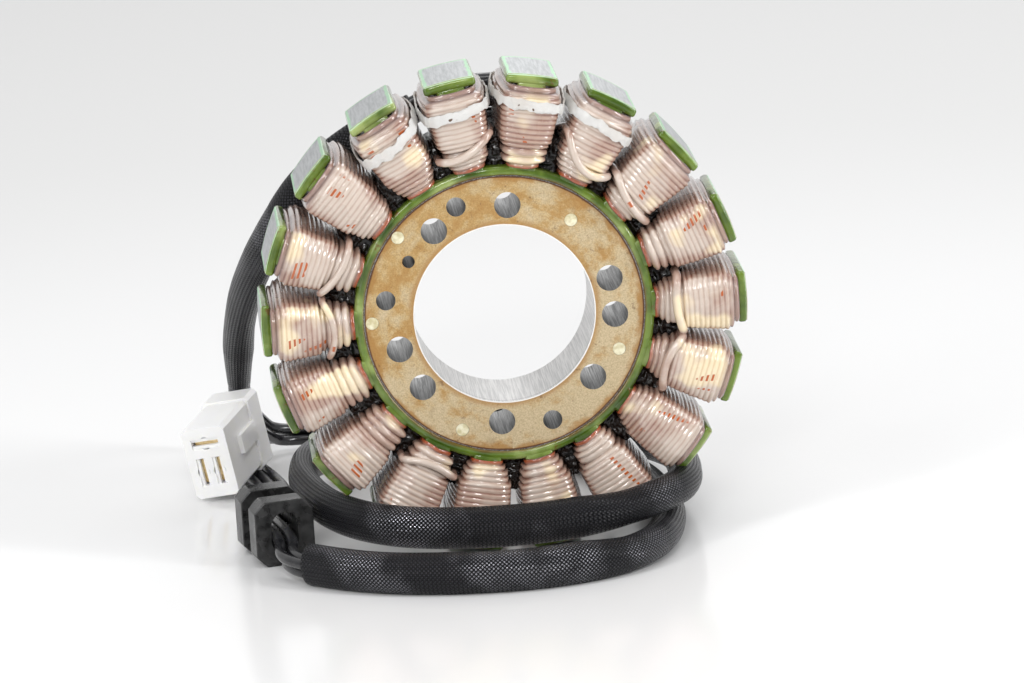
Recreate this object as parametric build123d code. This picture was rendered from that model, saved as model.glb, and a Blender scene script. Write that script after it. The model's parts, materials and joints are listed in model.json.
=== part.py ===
from build123d import *
from math import asin, atan2, cos, degrees, pi, radians, sin, tan
import os

# A wound stator with eighteen poles. +Z is up, the bore's axis lies along Y with the
# front face toward -Y, and the origin is the middle of the bore. Sizes are in mm.
# Angles run clockwise from the top, as seen from the front.

# Laminated core
bore_radius = 22.25
core_length = 24.0
mounting_ring_radius = 34.5
coated_rim_width = 1.7
yoke_radius = mounting_ring_radius + coated_rim_width
pole_count = 18
tooth_width = 6.0
shoe_width = 12.0
shoe_thickness = 1.7
outer_radius = 60.0
shoe_underside = outer_radius - shoe_thickness

# Insulating coat, moulded over the poles. A fine groove parts it from the bare mounting ring.
coat_thickness = 0.5
edge_groove_width = 0.25
edge_groove_depth = 0.2

# Holes in the mounting ring
bolt_hole_radius = 3.25
bolt_circle_radius = 27.25
bolt_hole_angles = (4.7, 75.0, 94.5, 130.0, 184.7, 231.3, 255.0, 323.7)
pilot_hole_radius = 2.4
pilot_circle_radius = 29.5
pilot_hole_angles = (159.6, 280.6, 339.4)
pin_hole_radius = 1.55
pin_hole_angle = 302.9
pin_circle_radius = 27.2
rivet_radius = 1.55
rivet_play = 0.05
rivet_recess = 0.05
rivet_angles = (38.3, 309.9, 269.9, 111.6, 203.1)
rivet_circle_radii = (28.4, 32.7, 32.7, 29.8, 31.0)

# Windings
coil_gap = 0.15
root_gap = 0.8
top_gap = 0.5
coil_root = yoke_radius + coat_thickness + root_gap
coil_top = shoe_underside - coat_thickness - top_gap
coil_ridges = 6
ridge_groove = 0.45
coil_corner = 1.6
root_half_width = 4.8
layer_half_width = 7.0
winding_flare = 2 / 11
widest_half_width = root_half_width + winding_flare * (coil_top - coil_root)
shoulder_step = 1.0
top_half_width = widest_half_width - shoulder_step
winding_overhang = 5.0

# Lacing tape round the four coils that carry the leads
laced_coils = (16, 17, 0, 1)
tape_below_top = 4.1
tape_width = 2.4
tape_thickness = 0.4
tape_gap = 0.05

# Splices and leads behind the top coils
splice_diameter = 4.2
splice_length = 20.0
splice_pitch = 4.4
splice_x = 3.0
splice_below_top = 9.4
seat_gap = 0.3
wire_diameter = 2.8
lead_sleeve_diameter = 7.6
main_sleeve_diameter = 9.0

# Straight stretches where the wires leave a sleeve, a splice or the connector
splice_exit = 3.0
sleeve_entry = 3.5
sleeve_exit = 5.5
main_entry = 8.5
main_exit = 9.0
connector_entry = 6.3
outer_wire_reach = 0.6
grommet_entry = 5.0
grommet_exit_run = 2.5

# Grommet
grommet_width = 15.0
grommet_height = 16.5
grommet_length = 20.0
grommet_corner = 2.6
groove_width = 7.0
groove_depth = 2.5
grommet_hole_width = 6.6
grommet_hole_height = 10.4
wires_below_middle = 1.6
grommet_front = (-57.5, -11.0)
grommet_turn = 12.6

# Connector: a moulded housing with three blade terminals
housing_width = 13.0
housing_length = 28.0
housing_height = 20.0
housing_edge = 1.0
collar_length = 8.0
collar_step = 0.6
pocket_width = 7.4
pocket_height = 2.6
pocket_depth = 18.0
blade_width = 6.3
blade_thickness = 1.6
blade_inset = 1.5
upper_pocket_z = 15.2
lower_pocket_z = 7.6
lower_pocket_spacing = 4.4
wire_bore_play = 0.3
crimp_length = 5.0
crimp_overlap = 2.0
pocket_wall = 1.6
latch_below_upper_pocket = 4.0
latch_width = 5.0
latch_length = 12.0
latch_height = 1.2
housing_corner = (-78.5, 58.5)
housing_yaw = 19.4
housing_pitch = 5.0
housing_roll = 9.0

# The stator stands on the corners of its two lowest shoes.
pole_pitch = 360.0 / pole_count
shoe_half_angle = asin((shoe_width / 2 + coat_thickness) / outer_radius)
floor_z = -outer_radius * cos(radians(pole_pitch / 2) - shoe_half_angle)

# Routes of the harness as (x, y, height above the floor)
lead_route = [(-17.5, 23.6, 106), (-31, 25.0, 99.6), (-45.5, 28, 88.3), (-54, 35.5, 75),
              (-60, 52, 61.4), (-63.2, 72, 47), (-64.5, 88, 34), (-64.6, 99, 21.6)]
main_route = [(-52.3, -31.0, 4.5), (-43.8, -39.4, 4.5), (-27, -48.0, 4.5), (-5, -51.8, 4.5),
              (16, -48, 4.5), (32, -35.5, 4.5), (38.5, -12, 4.5), (38.5, 14, 4.5), (33, 42, 4.5),
              (18, 68, 5), (-7, 82, 5.8), (-32, 80, 7.5), (-47.5, 60, 9.8), (-52, 34, 10.9),
              (-49.3, 11, 11.2), (-44.5, -9, 11.7), (-33.5, -25.8, 12), (-16, -32, 11.5), (3, -32, 11.3),
              (24.4, -31.8, 12.7), (38.3, -24.7, 14.3), (46.7, -12.3, 13.9), (48.6, 9.6, 12.4),
              (48.4, 34, 10), (39, 66, 5.6), (19, 89, 4.5), (-8, 102, 4.5), (-31, 106.4, 4.5),
              (-46.8, 104.2, 4.5)]


def polar(angle, distance):
    """A point in the plane of the front face, with X to the right and Y up."""
    return distance * sin(radians(angle)), distance * cos(radians(angle))


def pole_angle(index):
    return pole_pitch * (index + 0.5)


def pole_profile(grow):
    """Yoke, teeth and shoes in the front plane; grow is the coat that lies on the steel."""
    underside = shoe_underside - grow
    tooth = Pos(0, underside / 2) * Rectangle(tooth_width + 2 * grow, underside + 1)
    shoe_height = outer_radius - underside
    shoe = Pos(0, underside + shoe_height / 2) * Rectangle(shoe_width + 2 * grow, shoe_height)
    pole = (tooth + shoe) & Circle(outer_radius)
    spokes = [Rot(Z=-pole_angle(i)) * pole for i in range(pole_count)]
    return Circle(yoke_radius + grow) + spokes


def plate(profile, front, back):
    """Extrude a profile of the front plane from y = front to y = back."""
    return extrude(Plane.XZ.offset(-back) * profile, amount=back - front)


# Holes through the whole core, in the front plane
holes = Sketch() + [Pos(*polar(a, bolt_circle_radius)) * Circle(bolt_hole_radius)
                    for a in bolt_hole_angles]
holes += [Pos(*polar(a, pilot_circle_radius)) * Circle(pilot_hole_radius) for a in pilot_hole_angles]
holes += Pos(*polar(pin_hole_angle, pin_circle_radius)) * Circle(pin_hole_radius)
rivet_places = [Pos(*polar(a, r)) for a, r in zip(rivet_angles, rivet_circle_radii)]
holes += [place * Circle(rivet_radius + rivet_play) for place in rivet_places]

front_y = -core_length / 2
rear_y = core_length / 2
steel = pole_profile(0) - Circle(bore_radius) - holes
coat_edge_radius = mounting_ring_radius + edge_groove_width
edge_ring = Circle(coat_edge_radius) - Circle(mounting_ring_radius)
edge_grooves = (plate(edge_ring, front_y, front_y + edge_groove_depth)
                + plate(edge_ring, rear_y - edge_groove_depth, rear_y))
laminated_core = plate(steel, front_y, rear_y) - edge_grooves

rivet_profile = Sketch() + [place * Circle(rivet_radius) for place in rivet_places]
core_rivets = plate(rivet_profile, front_y + rivet_recess, rear_y - rivet_recess)

coated_front = front_y - coat_thickness
coated_rear = rear_y + coat_thickness
coat_envelope = plate(pole_profile(coat_thickness) - Circle(coat_edge_radius),
                      coated_front, coated_rear)
epoxy_coating = coat_envelope - plate(pole_profile(0), front_y, rear_y)


# Windings: ridges of wire round each coated tooth, narrow at the root and wide at the shoe
hole_half_width = tooth_width / 2 + coat_thickness + coil_gap
hole_half_depth = core_length / 2 + coat_thickness + coil_gap
ridge_pitch = (coil_top - coil_root) / coil_ridges
winding_depth = core_length / 2 + coat_thickness + winding_overhang - widest_half_width


def octagon(half_width, grow=0.0):
    """The outline of a winding; half depth and corners follow its half width."""
    x = half_width + grow
    y = half_width + winding_depth + grow
    c = coil_corner + (2 - 2**0.5) * (x - root_half_width)
    return Polygon((x, y - c), (x - c, y), (c - x, y), (-x, y - c),
                   (-x, c - y), (c - x, -y), (x - c, -y), (x, c - y), align=None)


def ridge_half_width(ridge):
    """The first ridge is the inner layer; the outer layer widens up to the one below the shoe."""
    if ridge == 0:
        return root_half_width
    if ridge == coil_ridges - 1:
        return top_half_width
    share = (ridge - 1) / (coil_ridges - 3)
    return layer_half_width + (widest_half_width - layer_half_width) * share


def half_ridge(crest, waist):
    """The flat-sided upper half of a ridge, from its crest at z = 0 up to the waist above it."""
    lean = degrees(atan2(crest - waist, ridge_pitch / 2))
    return extrude(octagon(crest), amount=ridge_pitch / 2, taper=lean)


crests = [ridge_half_width(i) for i in range(coil_ridges)]
waists = ([crests[0] - ridge_groove]
          + [min(pair) - ridge_groove for pair in zip(crests, crests[1:])]
          + [crests[-1] - ridge_groove])
winding = Part()
for ridge, crest in enumerate(crests):
    crest_place = Pos(0, 0, coil_root + (ridge + 0.5) * ridge_pitch)
    winding += crest_place * mirror(half_ridge(crest, waists[ridge]), about=Plane.XY)
    winding += crest_place * half_ridge(crest, waists[ridge + 1])
winding -= Pos(0, 0, coil_top / 2) * Box(2 * hole_half_width, 2 * hole_half_depth, 2 * coil_top)
coils = [Rot(Y=pole_angle(i)) * winding for i in range(pole_count)]

# The tape lies on the widest turns.
tape_profile = (octagon(widest_half_width, tape_gap + tape_thickness)
                - octagon(widest_half_width, tape_gap))
tape_start = coil_top - tape_below_top - tape_width / 2
tape = extrude(Pos(0, 0, tape_start) * tape_profile, amount=tape_width)
lacing = [Rot(Y=pole_angle(i)) * tape for i in laced_coils]

# Splices lie side by side on the backs of the top coils and over the tape.
back_of_tape = widest_half_width + winding_depth + tape_gap + tape_thickness
splice_y = back_of_tape + seat_gap + splice_diameter / 2
splice_heights = [coil_top - splice_below_top + splice_pitch * i for i in (-1, 0, 1)]
splices = [Pos(splice_x, splice_y, z) * Rot(Y=90) * Cylinder(splice_diameter / 2, splice_length)
           for z in splice_heights]


def lay(route):
    """Turn a route with heights above the floor into points."""
    return [Vector(x, y, floor_z + h) for x, y, h in route]


def tube(name, points, diameter):
    """A cord's tube: straight runs joined by tangent arcs as large as the runs allow."""
    radii = []
    for before, at, after in zip(points, points[1:], points[2:]):
        turn = (at - before).get_angle(after - at)
        shorter = min((at - before).length, (after - at).length)
        radii.append(0.45 * shorter / tan(radians(turn / 2)))
    path = FilletPolyline(*points, radius=radii)
    body = sweep(Plane(origin=path @ 0, z_dir=path % 0) * Circle(diameter / 2), path=path)
    ideal = path.length * pi * diameter**2 / 4
    print(f"{name}: length {path.length:.1f}, smallest radius {min(radii):.1f}, "
          f"volume ratio {body.volume / ideal:.4f}")
    return body


# Three wires lie in a triangle inside the sleeves and the grommet, and side by side on the floor.
bundle = ((-1.55, 0.9), (1.55, 0.9), (0.0, -1.8))
opening = ((-2.3, 0.9), (2.3, 0.9), (0.0, -1.8))
flattening = ((-3.05, -0.4), (3.05, -0.4), (0.0, -1.0))
ribbon = ((-3.05, 0.0), (3.05, 0.0), (0.0, 0.0))


def strand(points, side, places):
    """Move each point of a shared route sideways, to its place in the bundle."""
    moved = []
    for i, point in enumerate(points):
        arriving = (points[max(i, 1)] - points[max(i, 1) - 1]).normalized()
        leaving = (points[min(i + 1, len(points) - 1)] - points[min(i, len(points) - 2)]).normalized()
        along = (arriving + leaving).normalized()
        across = (side - along * side.dot(along)).normalized()
        up = along.cross(across)
        offset = across * places[i][0] + up * places[i][1]
        bend = leaving - arriving
        if bend.length > 0.001:
            # Wires keep their distance round a bend when the offset is mitred.
            inward = bend.normalized()
            mitre = 1 / along.dot(leaving) - 1
            offset += inward * offset.dot(inward) * mitre
        moved.append(point + offset)
    # The first and last runs stay square to what the wires meet there.
    for end, beside in ((0, 1), (-1, -2)):
        run = (points[beside] - points[end]).normalized()
        moved[beside] = moved[end] + run * run.dot(moved[beside] - moved[end])
    return moved


lead_points = lay(lead_route)
main_points = lay(main_route)
lead_sleeve = tube("lead_sleeve", lead_points, lead_sleeve_diameter)
main_sleeve = tube("main_sleeve", main_points, main_sleeve_diameter)

# Short leads from the splices into the first sleeve
into_sleeve = (lead_points[1] - lead_points[0]).normalized()
entry_up = (Vector(0, 0, 1) - into_sleeve * into_sleeve.Z).normalized()
entry_side = into_sleeve.cross(entry_up)
entry_places = ((-1.3, -1.8), (2.2, 0.0), (-1.3, 1.8))
lead_wires = []
for number, height in enumerate(splice_heights):
    start = Vector(splice_x - splice_length / 2, splice_y, height)
    aside, rise = entry_places[number]
    end = lead_points[0] + entry_side * aside + entry_up * rise
    route = [start, start - Vector(splice_exit, 0, 0), end - into_sleeve * sleeve_entry, end]
    lead_wires.append(tube(f"lead_wire_{number + 1}", route, wire_diameter))

# Grommet, standing on the floor beside the stator
grommet_axis = Vector(sin(radians(grommet_turn)), -cos(radians(grommet_turn)), 0)
grommet_centre = Vector(*grommet_front, floor_z + grommet_height / 2) - grommet_axis * grommet_length / 2
grommet_plane = Plane(origin=grommet_centre, x_dir=grommet_axis.cross(Vector(0, 0, 1)), z_dir=grommet_axis)
flange_profile = Rectangle(grommet_width, grommet_height)
flange_profile = chamfer(flange_profile.vertices(), grommet_corner)
neck_profile = Rectangle(grommet_width - 2 * groove_depth, grommet_height - 2 * groove_depth)
neck_profile = chamfer(neck_profile.vertices(), grommet_corner / 2)
wire_way = Rot(Z=90) * SlotOverall(grommet_hole_height, grommet_hole_width)
grommet_body = extrude(flange_profile - wire_way, amount=grommet_length / 2, both=True)
groove = extrude(Rectangle(2 * grommet_width, 2 * grommet_height) - neck_profile,
                 amount=groove_width / 2, both=True)
grommet = grommet_plane.location * (grommet_body - groove)

# Connector, lying on one long edge of its housing
housing_place = (Pos(*housing_corner, floor_z) * Rot(Z=-housing_yaw)
                 * Rot(X=housing_pitch) * Rot(Y=-housing_roll))
shell = Pos(housing_width / 2, housing_length / 2, housing_height / 2) * Box(
    housing_width, housing_length, housing_height)
shell = chamfer(shell.edges().filter_by(Axis.Y), housing_edge)
waist_cut = Pos(housing_width / 2, (housing_length - collar_length) / 2, housing_height / 2) * Box(
    2 * housing_width, housing_length - collar_length, 2 * housing_height)
waist_core = Pos(housing_width / 2, (housing_length - collar_length) / 2, housing_height / 2) * Box(
    housing_width - 2 * collar_step, housing_length - collar_length,
    housing_height - 2 * collar_step)
waist_core = chamfer(waist_core.edges().filter_by(Axis.Y), housing_edge)
latch_y = housing_length - collar_length - latch_length / 2
latch = Pos(housing_width - collar_step, latch_y, upper_pocket_z - latch_below_upper_pocket) * Box(
    2 * latch_height, latch_length, latch_width)
housing_body = (shell - waist_cut) + waist_core + latch

# Each terminal place is (x, z, turned upright).
terminal_places = ((housing_width / 2 - lower_pocket_spacing / 2, lower_pocket_z, True),
                   (housing_width / 2 + lower_pocket_spacing / 2, lower_pocket_z, True),
                   (housing_width / 2, upper_pocket_z, False))
crimp_start = blade_inset + pocket_depth - crimp_overlap
crimp_end = crimp_start + crimp_length
terminals = []
for x, z, upright in terminal_places:
    turn = Rot(Y=90) if upright else Rot(Y=0)
    pocket = Box(pocket_width, pocket_depth, min(pocket_height, lower_pocket_spacing - pocket_wall))
    housing_body -= Pos(x, pocket_depth / 2, z) * turn * pocket
    housing_body -= Pos(x, housing_length / 2, z) * Rot(X=90) * Cylinder(
        wire_diameter / 2 + wire_bore_play, housing_length + 1)
    blade = Box(blade_width, crimp_start - blade_inset, blade_thickness)
    crimp = Pos(x, (crimp_start + crimp_end) / 2, z) * Rot(X=90) * Cylinder(
        wire_diameter / 2, crimp_length)
    terminals.append(Pos(x, (blade_inset + crimp_start) / 2, z) * turn * blade + crimp)
connector_housing = housing_place * housing_body
connector_terminals = housing_place * (Part() + terminals)

# Bare wires from the first sleeve, down to the floor and forward through the grommet
hole_height = grommet_height / 2 - wires_below_middle
grommet_rear = grommet_centre - grommet_axis * (grommet_length / 2 + grommet_entry)
grommet_exit = grommet_centre + grommet_axis * (grommet_length / 2 + grommet_exit_run)
on_floor = wire_diameter / 2
into_main = (main_points[1] - main_points[0]).normalized()
out_of_lead = (lead_points[-1] - lead_points[-2]).normalized()
middle_route = [lead_points[-1], lead_points[-1] + out_of_lead * sleeve_exit] + lay([
    (-65.1, 104.0, 10.9), (-65.5, 101.0, 5.0), (-65.5, 95.4, 2.4), (-64.0, 85.5, on_floor),
    (-61.0, 75, on_floor), (-58.4, 62, on_floor), (-57.4, 47, on_floor + 0.1), (-58.8, 31, 3.8)]) + [
    Vector(grommet_rear.X, grommet_rear.Y, floor_z + hole_height),
    Vector(grommet_exit.X, grommet_exit.Y, floor_z + hole_height),
    main_points[0] - into_main * main_entry,
    main_points[0]]
arrangements = (bundle, bundle, bundle, opening, flattening, ribbon, ribbon, ribbon, ribbon,
                opening, bundle, bundle, bundle, bundle)
middle_wires = []
for number in range(3):
    places = [arrangement[number] for arrangement in arrangements]
    route = strand(middle_route, Vector(1, 0, 0), places)
    middle_wires.append(tube(f"wire_{number + 1}_mid", route, wire_diameter))

# Bare wires from the far end of the main sleeve, round into the back of the connector
out_of_main = (main_points[-1] - main_points[-2]).normalized()
housing_axis = (Vector(*(housing_place * Pos(0, 1, 0)).position)
                - Vector(*housing_place.position)).normalized()
end_side = (Vector(0, 0, 1) - out_of_main * out_of_main.Z).normalized()
end_across = out_of_main.cross(end_side)
end_wires = []
for number, (x, z, upright) in enumerate(terminal_places):
    h, v = bundle[number]
    start = main_points[-1] - end_across * h - end_side * v
    crimp = Vector(*(housing_place * Pos(x, crimp_end, z)).position)
    reach = outer_wire_reach * (housing_width / 2 - x)
    far = crimp + housing_axis * (housing_length - crimp_end + connector_entry + reach)
    turn_point = start + out_of_main * (main_exit + reach)
    between = far * 0.5 + turn_point * 0.5 + Vector(-0.1, 0.9, -0.6)
    end_wires.append(tube(f"wire_{number + 1}_end", [start, turn_point, between, far, crimp],
                          wire_diameter))

nodes = {
    "laminated_core": laminated_core,
    "core_rivets": core_rivets,
    "epoxy_coating": epoxy_coating,
    "lead_sleeve": lead_sleeve,
    "main_sleeve": main_sleeve,
    "grommet": grommet,
    "connector_housing": connector_housing,
    "connector_terminals": connector_terminals,
}
nodes.update({f"coil_{i + 1:02d}": coil for i, coil in enumerate(coils)})
nodes.update({f"lacing_tape_{i + 1}": tie for i, tie in enumerate(lacing)})
nodes.update({f"lead_splice_{i + 1}": splice for i, splice in enumerate(splices)})
nodes.update({f"lead_wire_{i + 1}": wire for i, wire in enumerate(lead_wires)})
nodes.update({f"wire_{i + 1}_mid": wire for i, wire in enumerate(middle_wires)})
nodes.update({f"wire_{i + 1}_end": wire for i, wire in enumerate(end_wires)})

os.makedirs("parts", exist_ok=True)
for name, shape in nodes.items():
    export_step(shape, f"parts/{name}.step")
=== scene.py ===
# %% [markdown]
# # A wound stator, dressed for a photograph
# The CAD model holds the real sizes. This script loads it as a fixed frame and gives each
# piece its finish: varnished windings, a green coat, bare steel, black braid and white nylon.

# %% Load the frame
import json
from functools import partialmethod
from math import cos, pi, radians, sin, sqrt, tan

import bmesh
import bpy
from mathutils import Matrix, Vector, noise
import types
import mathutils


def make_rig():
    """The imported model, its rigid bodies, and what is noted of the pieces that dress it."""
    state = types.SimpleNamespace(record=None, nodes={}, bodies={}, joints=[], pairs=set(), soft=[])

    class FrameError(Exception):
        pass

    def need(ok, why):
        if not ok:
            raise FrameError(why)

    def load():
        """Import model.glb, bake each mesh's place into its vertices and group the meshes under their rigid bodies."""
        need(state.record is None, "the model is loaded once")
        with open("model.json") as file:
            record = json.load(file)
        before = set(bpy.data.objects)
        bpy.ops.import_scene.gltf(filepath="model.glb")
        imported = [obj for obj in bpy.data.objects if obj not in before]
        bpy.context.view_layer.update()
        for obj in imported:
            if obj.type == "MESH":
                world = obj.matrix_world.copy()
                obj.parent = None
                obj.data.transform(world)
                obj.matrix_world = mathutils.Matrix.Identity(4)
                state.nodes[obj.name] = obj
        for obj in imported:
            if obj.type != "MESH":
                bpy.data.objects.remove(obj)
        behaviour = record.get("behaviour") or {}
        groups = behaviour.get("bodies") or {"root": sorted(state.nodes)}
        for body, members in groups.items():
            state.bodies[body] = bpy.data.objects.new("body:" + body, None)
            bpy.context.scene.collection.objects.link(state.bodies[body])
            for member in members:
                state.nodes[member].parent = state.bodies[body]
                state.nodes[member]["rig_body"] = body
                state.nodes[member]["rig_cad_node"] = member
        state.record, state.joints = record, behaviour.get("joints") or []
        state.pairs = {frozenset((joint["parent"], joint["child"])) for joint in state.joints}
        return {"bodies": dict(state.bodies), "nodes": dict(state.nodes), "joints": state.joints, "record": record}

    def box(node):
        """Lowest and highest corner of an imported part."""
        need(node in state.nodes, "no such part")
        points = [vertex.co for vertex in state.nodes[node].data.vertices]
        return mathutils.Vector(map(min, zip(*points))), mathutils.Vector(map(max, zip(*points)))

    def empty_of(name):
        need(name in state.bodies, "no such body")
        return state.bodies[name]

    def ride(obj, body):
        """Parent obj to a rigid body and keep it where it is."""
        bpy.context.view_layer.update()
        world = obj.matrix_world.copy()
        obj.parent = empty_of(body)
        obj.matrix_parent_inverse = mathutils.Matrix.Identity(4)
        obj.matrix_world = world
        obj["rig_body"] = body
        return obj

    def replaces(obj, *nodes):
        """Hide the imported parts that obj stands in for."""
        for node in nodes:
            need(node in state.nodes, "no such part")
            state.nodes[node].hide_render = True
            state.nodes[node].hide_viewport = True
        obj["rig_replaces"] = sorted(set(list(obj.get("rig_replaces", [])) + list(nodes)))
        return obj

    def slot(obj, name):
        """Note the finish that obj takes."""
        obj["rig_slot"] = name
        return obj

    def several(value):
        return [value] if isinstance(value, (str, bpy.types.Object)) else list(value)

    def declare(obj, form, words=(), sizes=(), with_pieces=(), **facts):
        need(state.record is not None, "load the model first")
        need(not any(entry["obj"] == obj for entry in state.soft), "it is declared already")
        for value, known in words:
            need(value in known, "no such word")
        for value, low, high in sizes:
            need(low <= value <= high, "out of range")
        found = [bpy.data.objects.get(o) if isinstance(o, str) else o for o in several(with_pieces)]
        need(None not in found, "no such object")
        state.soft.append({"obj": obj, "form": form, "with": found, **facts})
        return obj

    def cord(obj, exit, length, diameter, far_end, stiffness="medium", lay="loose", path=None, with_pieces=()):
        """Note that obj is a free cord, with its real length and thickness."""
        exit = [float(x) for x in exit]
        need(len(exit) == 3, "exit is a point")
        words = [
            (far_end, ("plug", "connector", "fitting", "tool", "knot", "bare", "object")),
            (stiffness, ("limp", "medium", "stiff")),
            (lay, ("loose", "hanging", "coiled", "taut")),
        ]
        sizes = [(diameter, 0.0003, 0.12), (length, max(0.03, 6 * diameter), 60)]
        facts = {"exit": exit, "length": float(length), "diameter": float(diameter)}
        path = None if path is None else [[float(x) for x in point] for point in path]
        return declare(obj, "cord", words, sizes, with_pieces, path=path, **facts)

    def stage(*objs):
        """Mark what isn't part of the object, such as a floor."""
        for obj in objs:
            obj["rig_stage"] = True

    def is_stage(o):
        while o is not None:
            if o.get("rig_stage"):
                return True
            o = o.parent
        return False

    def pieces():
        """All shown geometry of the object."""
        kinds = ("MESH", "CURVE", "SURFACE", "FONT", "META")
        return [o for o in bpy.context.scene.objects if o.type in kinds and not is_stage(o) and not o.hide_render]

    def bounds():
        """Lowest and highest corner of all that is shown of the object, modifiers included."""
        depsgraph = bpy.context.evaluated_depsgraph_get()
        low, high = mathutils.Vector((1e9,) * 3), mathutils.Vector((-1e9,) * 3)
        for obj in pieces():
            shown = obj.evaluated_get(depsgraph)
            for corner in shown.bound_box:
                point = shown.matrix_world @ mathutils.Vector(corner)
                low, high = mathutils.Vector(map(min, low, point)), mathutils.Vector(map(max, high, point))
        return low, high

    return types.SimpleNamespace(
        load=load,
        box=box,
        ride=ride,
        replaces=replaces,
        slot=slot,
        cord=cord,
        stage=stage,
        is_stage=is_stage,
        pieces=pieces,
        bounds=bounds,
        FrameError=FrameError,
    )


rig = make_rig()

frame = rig.load()
cad_box = [list(map(float, corner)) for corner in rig.bounds()]
MM = 0.001
FLOOR = -59.870 * MM
to_metres = Matrix.Diagonal((MM, MM, MM, 1))
pole_count = 18
scene = bpy.context.scene
print("nodes:", len(frame["nodes"]))

# %% Put an object in the scene


def add(name, data):
    """A new object in the scene, from a camera, mesh, curve or lamp."""
    made = bpy.data.objects.new(name, data)
    scene.collection.objects.link(made)
    return made


# %% [markdown]
# ## The camera
# The photograph was taken from slightly above and to the left with a long lens, tipped by a few
# degrees. The camera's axes were fitted to the poles and the bore, so they are given as vectors.

# %% Camera
eye = Vector((-88.613, -1470.73, 333.143)) * MM
right = Vector((0.99545899, -0.07506237, -0.05854091))
up = Vector((0.07392868, 0.22221583, 0.97219066))
back = Vector((-0.05996622, -0.97210378, 0.22675601))
focal_length_in_pixels = 6097.35
picture_width = 1024
lens = bpy.data.cameras.new("camera")
lens.sensor_width = 36.0
lens.lens = focal_length_in_pixels * 36.0 / picture_width
lens.clip_end = 20
camera = add("camera", lens)
camera.matrix_world = Matrix.Translation(eye) @ Matrix((right, up, back)).transposed().to_4x4()
scene.camera = camera

# %% [markdown]
# ## Shader maths as expressions
# A wrapped socket lets a pattern be written as a formula. Each operator adds one Math node.

# %% The socket class


class Sock:
    """One output socket of a material, with the operators that its patterns use."""

    def __init__(self, tree, socket):
        self.tree = tree
        self.socket = socket

    def node(self, kind, settings=None, inputs=None, output=0):
        made = self.tree.nodes.new(kind)
        for key, value in (settings or {}).items():
            setattr(made, key, value)
        for key, value in (inputs or {}).items():
            if isinstance(value, Sock):
                self.tree.links.new(value.socket, made.inputs[key])
            else:
                made.inputs[key].default_value = value
        return Sock(self.tree, made.outputs[output])

    def math(self, operation, *others):
        """A Math node whose first input is this value."""
        inputs = dict(enumerate((self, *others)))
        return self.node("ShaderNodeMath", {"operation": operation}, inputs)

    def __rsub__(self, other):
        return self.node("ShaderNodeMath", {"operation": "SUBTRACT"}, {0: other, 1: self})

    __add__ = partialmethod(math, "ADD")
    __sub__ = partialmethod(math, "SUBTRACT")
    __mul__ = partialmethod(math, "MULTIPLY")
    __gt__ = partialmethod(math, "GREATER_THAN")
    sin = partialmethod(math, "SINE")
    abs = partialmethod(math, "ABSOLUTE")
    fract = partialmethod(math, "FRACT")
    power = partialmethod(math, "POWER")
    highest = partialmethod(math, "MAXIMUM")

    def step(self, low, high, to_low=0.0, to_high=1.0):
        """A smooth step from to_low at low to to_high at high."""
        return self.node("ShaderNodeMapRange", {"interpolation_type": "SMOOTHSTEP"},
                         {0: self, 1: low, 2: high, 3: to_low, 4: to_high})

    def parts(self):
        """The X, Y and Z of a vector."""
        split = self.tree.nodes.new("ShaderNodeSeparateXYZ")
        self.tree.links.new(self.socket, split.inputs[0])
        return [Sock(self.tree, out) for out in split.outputs]

    def joined(self, y, z):
        """A vector whose X is this value."""
        return self.node("ShaderNodeCombineXYZ", {}, {0: self, 1: y, 2: z})

    def scaled(self, x, y, z):
        """A vector stretched along its axes."""
        return self.node("ShaderNodeVectorMath", {"operation": "MULTIPLY"}, {0: self, 1: (x, y, z)})

    def noise(self, scale, detail, roughness=0.5):
        return self.node("ShaderNodeTexNoise", {},
                         {"Vector": self, "Scale": scale, "Detail": detail, "Roughness": roughness})

    def blend(self, low, high):
        """Mix two colours by this value."""
        low, high = (tone if isinstance(tone, Sock) else (*tone, 1.0) for tone in (low, high))
        return self.node("ShaderNodeMix", {"data_type": "RGBA"}, {0: self, 6: low, 7: high}, 2)


# %% Start a material


def finish(name, colour, roughness, metallic=0.0, coat=0.0, coat_roughness=0.05, specular=0.5):
    """A new material, its surface shader and its place in object space. The values given here
    hold wherever no pattern drives them."""
    material = bpy.data.materials.new(name)
    material.use_nodes = True
    tree = material.node_tree
    surface = tree.nodes["Principled BSDF"]
    surface.inputs["Base Color"].default_value = (*colour, 1.0)
    surface.inputs["Roughness"].default_value = roughness
    surface.inputs["Metallic"].default_value = metallic
    surface.inputs["Coat Weight"].default_value = coat
    surface.inputs["Coat Roughness"].default_value = coat_roughness
    surface.inputs["Specular IOR Level"].default_value = specular
    places = tree.nodes.new("ShaderNodeTexCoord")
    return material, surface, Sock(tree, places.outputs["Object"])


def drive(surface, name, sock):
    sock.tree.links.new(sock.socket, surface.inputs[name])


def bump(surface, height, distance, strength):
    """Raise the surface by a pattern; distance is in metres."""
    made = height.node("ShaderNodeBump", {},
                       {"Height": height, "Distance": distance, "Strength": strength})
    drive(surface, "Normal", made)


def own_uv(place):
    """The piece's own UV map, as a vector."""
    return place.node("ShaderNodeUVMap", {"uv_map": "UVMap"})


def from_axis(place):
    """X, Y and Z in metres, and the distance from the stator's axis in millimetres."""
    x, y, z = place.parts()
    return x, y, z, (x * x + z * z).power(0.5) * 1000


def mottle(surface, place, scale, detail, dark, light):
    """Let the colour wander between two tones."""
    drive(surface, "Base Color", place.noise(scale, detail).step(0.3, 0.7).blend(dark, light))


def uneven_gloss(surface, place, scale, detail, glossy, dull):
    """Let the roughness wander between two values."""
    drive(surface, "Roughness", place.noise(scale, detail).step(0.3, 0.7, glossy, dull))


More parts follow.
